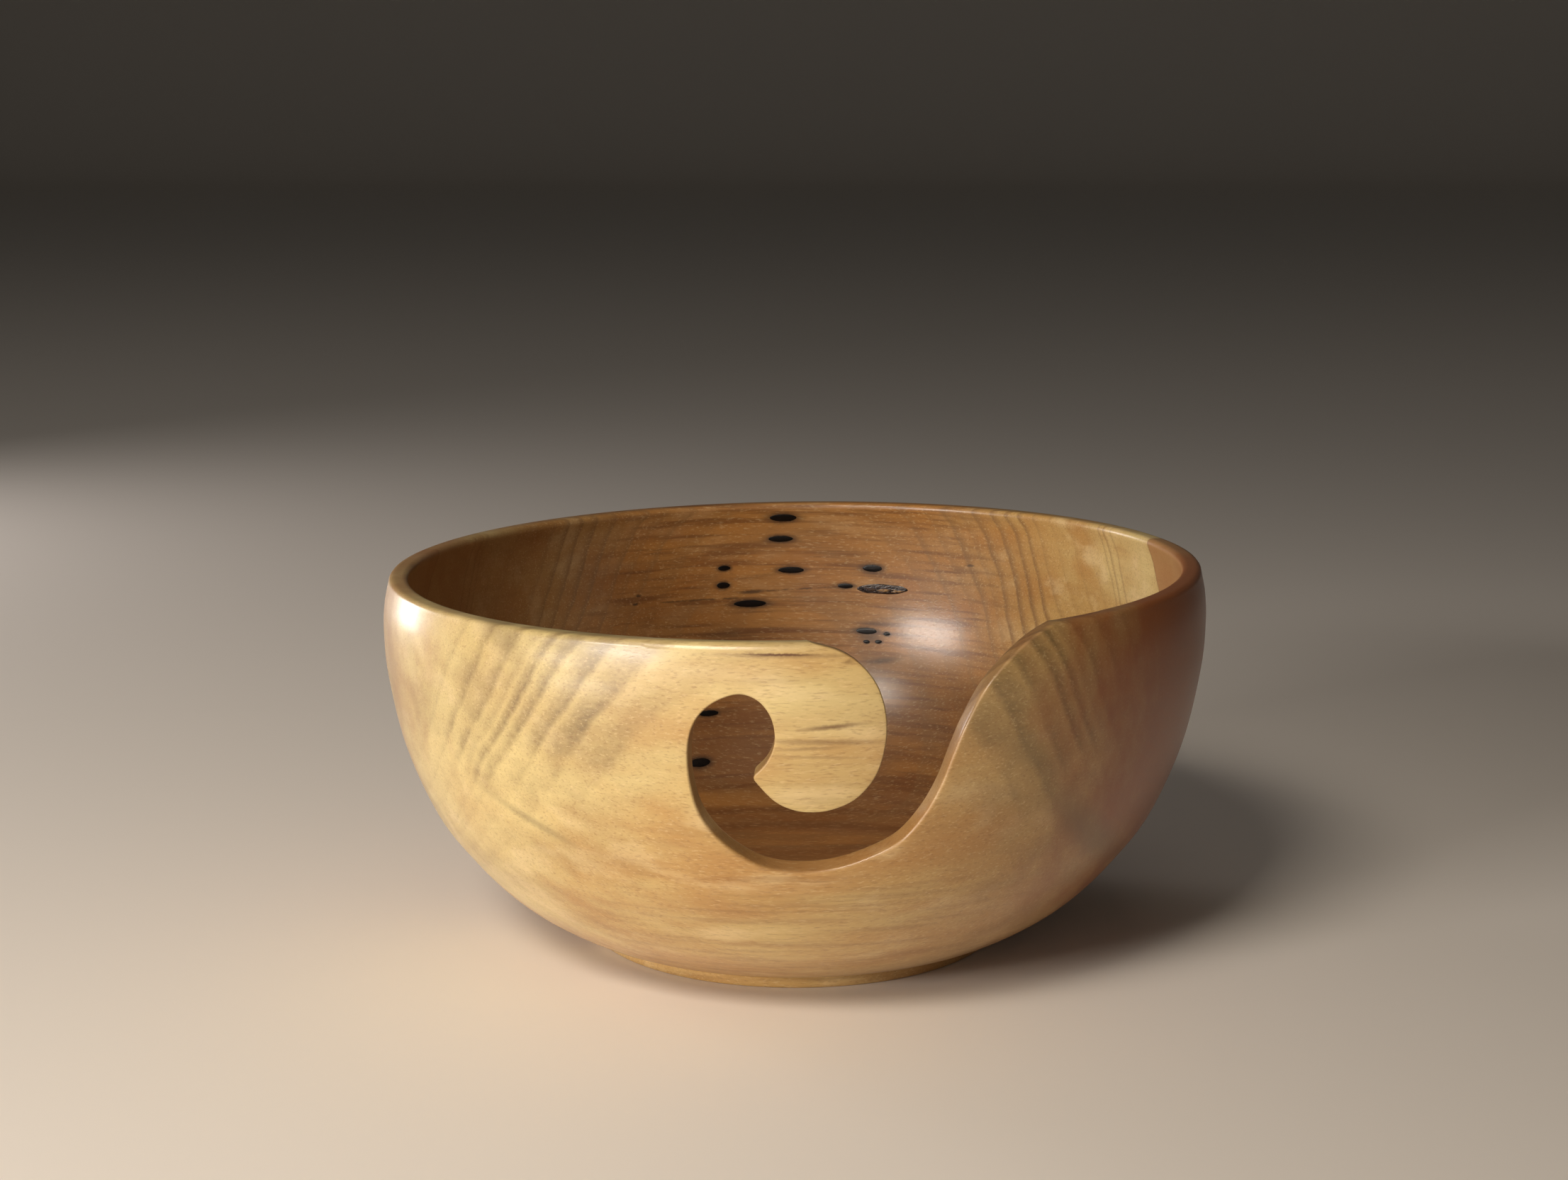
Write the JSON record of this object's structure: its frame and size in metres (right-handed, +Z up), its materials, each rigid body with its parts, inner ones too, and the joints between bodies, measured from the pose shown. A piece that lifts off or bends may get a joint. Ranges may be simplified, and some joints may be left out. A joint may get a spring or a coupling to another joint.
{
  "type": "yarn bowl",
  "caption": "Turned wooden bowl on a low foot, with a curled slot in its wall that guides yarn out of a ball kept inside.",
  "frame": {"origin": "centre of the foot's underside, on the surface that the bowl stands on", "axes": "+Z up along the turning axis; -Y towards the yarn slot, the front; +X to the right seen from the front, along the grain of the wood"},
  "size_m": [0.205, 0.205, 0.0957],
  "materials": {
    "oiled_wood": "turned and sanded wormy maple with a satin wiping varnish",
    "bark_resin": "dark resin over the remains of bark, sanded flush",
    "hole_resin": "clear-black resin in a borer hole, sanded flush"
  },
  "bodies": {
    "root": {"bowl": "oiled_wood", "bark_pocket_fill": "bark_resin", "borer_hole_fill_01": "hole_resin", "borer_hole_fill_02": "hole_resin", "borer_hole_fill_03": "hole_resin", "borer_hole_fill_04": "hole_resin", "borer_hole_fill_05": "hole_resin", "borer_hole_fill_06": "hole_resin", "borer_hole_fill_07": "hole_resin", "borer_hole_fill_08": "hole_resin", "borer_hole_fill_09": "hole_resin", "borer_hole_fill_10": "hole_resin", "borer_hole_fill_11": "hole_resin", "borer_hole_fill_12": "hole_resin", "borer_hole_fill_13": "hole_resin", "borer_hole_fill_14": "hole_resin"}
  },
  "joints": []
}
